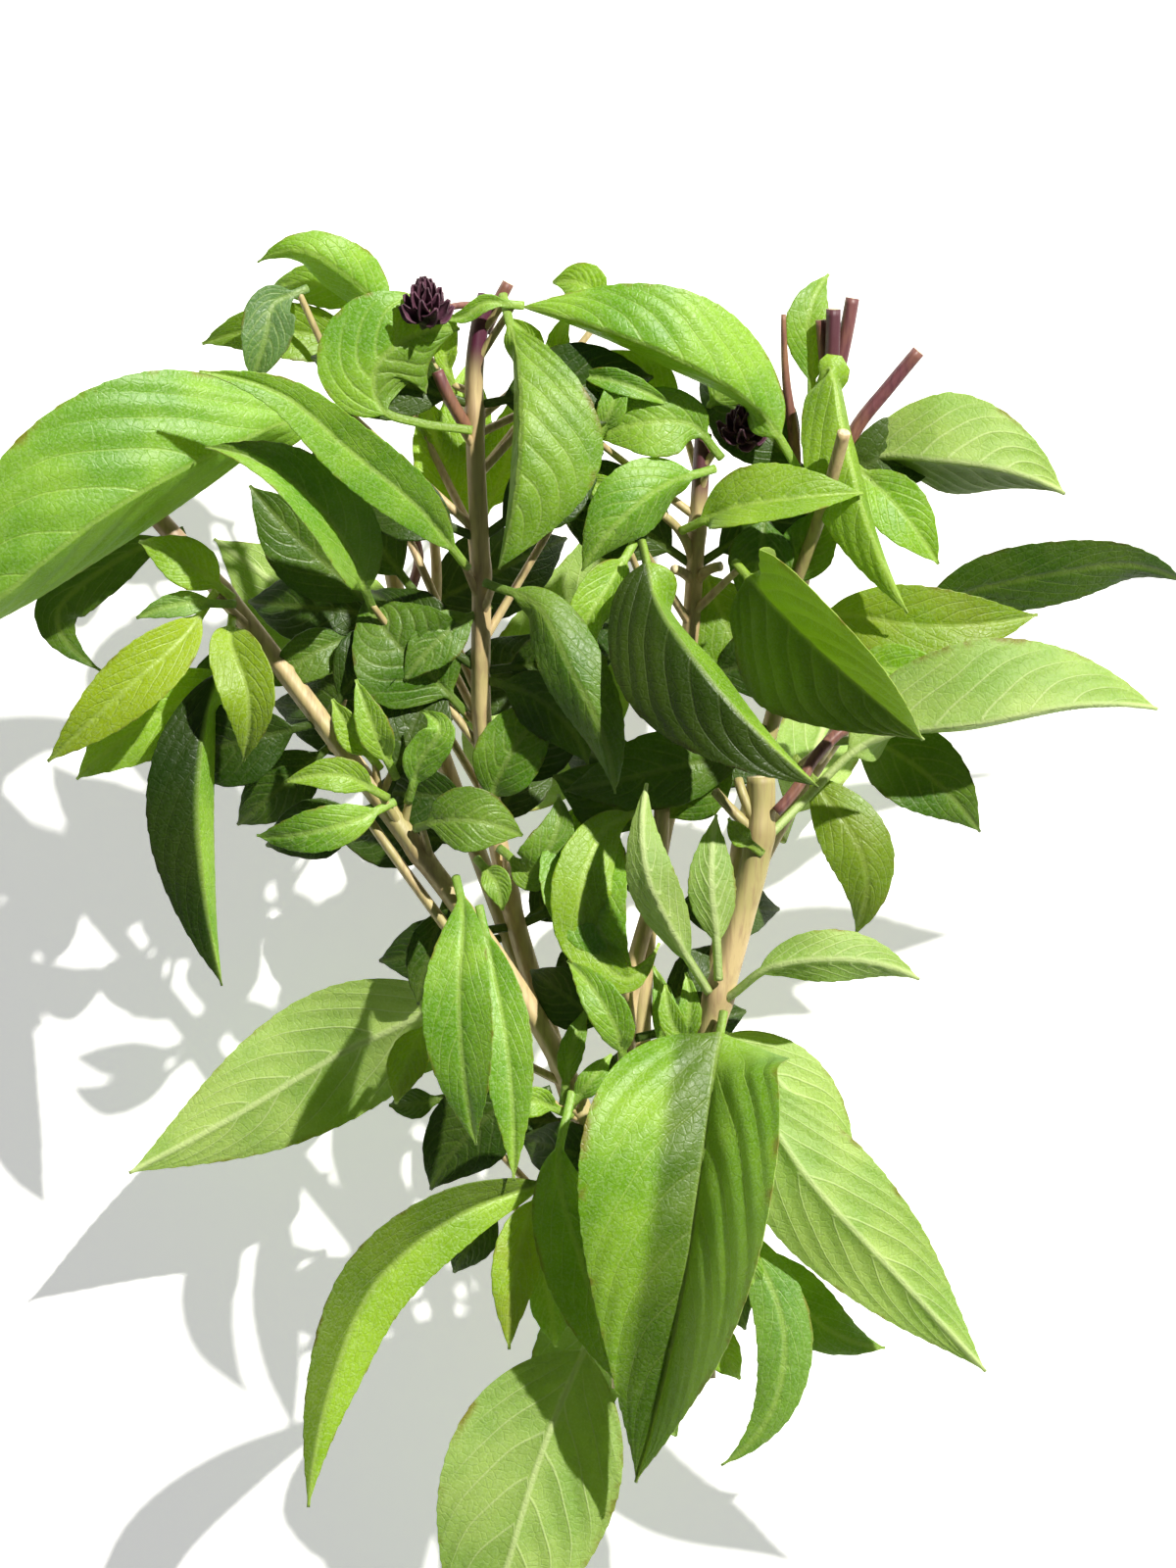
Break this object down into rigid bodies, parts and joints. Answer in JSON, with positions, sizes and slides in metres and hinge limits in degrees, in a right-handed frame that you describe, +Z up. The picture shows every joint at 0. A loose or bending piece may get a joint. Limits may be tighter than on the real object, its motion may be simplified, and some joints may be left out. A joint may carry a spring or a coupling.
{
  "type": "basil bunch",
  "caption": "Loose bunch of fresh Thai basil cut with its stems, purple side stubs and flower buds, lying on its side.",
  "frame": {"origin": "on the table, under the middle of the bunch", "axes": "+Y toward the leafy tops, along the stems; +X to the right as seen from above with the tops away; +Z up from the table"},
  "size_m": [0.2147, 0.2479, 0.0884],
  "materials": {
    "leaf_blade": "satin",
    "stem": "satin",
    "side_shoot": "satin",
    "flower_bud": "matte"
  },
  "bodies": {
    "root": {"left_stem": "stem", "left_centre_stem": "stem", "right_stem": "stem", "purple_stem": "stem", "centre_stem": "stem", "right_stub_stem": "stem", "far_right_stem": "stem", "back_stem": "stem", "brown_branch": "side_shoot", "pink_spike": "side_shoot", "brown_stub": "side_shoot", "left_flower_bud": "flower_bud", "right_flower_bud": "flower_bud", "big_left_leaf": "leaf_blade", "top_left_leaf": "leaf_blade", "left_pointed_leaf": "leaf_blade", "round_leaf": "leaf_blade", "left_diagonal_leaf": "leaf_blade", "arched_leaf": "leaf_blade", "left_yellow_leaf": "leaf_blade", "left_small_bright_leaf": "leaf_blade", "left_green_leaf": "leaf_blade", "left_hanging_leaf": "leaf_blade", "centre_top_leaf": "leaf_blade", "top_arch_leaf": "leaf_blade", "centre_pale_leaf": "leaf_blade", "right_centre_leaf": "leaf_blade", "right_folded_leaf": "leaf_blade", "right_top_leaf": "leaf_blade", "far_right_leaf": "leaf_blade", "right_bronze_leaf": "leaf_blade", "bright_folded_leaf": "leaf_blade", "centre_folded_leaf": "leaf_blade", "centre_dark_leaf": "leaf_blade", "centre_hanging_leaf": "leaf_blade", "left_centre_round_leaf": "leaf_blade", "left_low_leaf": "leaf_blade", "left_hanging_front_leaf": "leaf_blade", "left_hanging_back_leaf": "leaf_blade", "lower_left_leaf": "leaf_blade", "pale_upright_leaf": "leaf_blade", "second_upright_leaf": "leaf_blade", "right_small_leaf": "leaf_blade", "right_long_leaf": "leaf_blade", "right_dark_leaf": "leaf_blade", "right_hanging_leaf": "leaf_blade", "centre_inner_leaf": "leaf_blade", "big_front_leaf": "leaf_blade", "right_lower_back_leaf": "leaf_blade", "right_lower_leaf": "leaf_blade", "grey_green_leaf": "leaf_blade", "centre_lower_leaf": "leaf_blade", "lower_left_curved_leaf": "leaf_blade", "bottom_leaf": "leaf_blade", "under_middle_leaf": "leaf_blade", "under_left_leaf": "leaf_blade", "under_right_leaf": "leaf_blade", "under_low_left_leaf": "leaf_blade", "under_low_right_leaf": "leaf_blade", "under_bottom_leaf": "leaf_blade"}
  },
  "joints": []
}
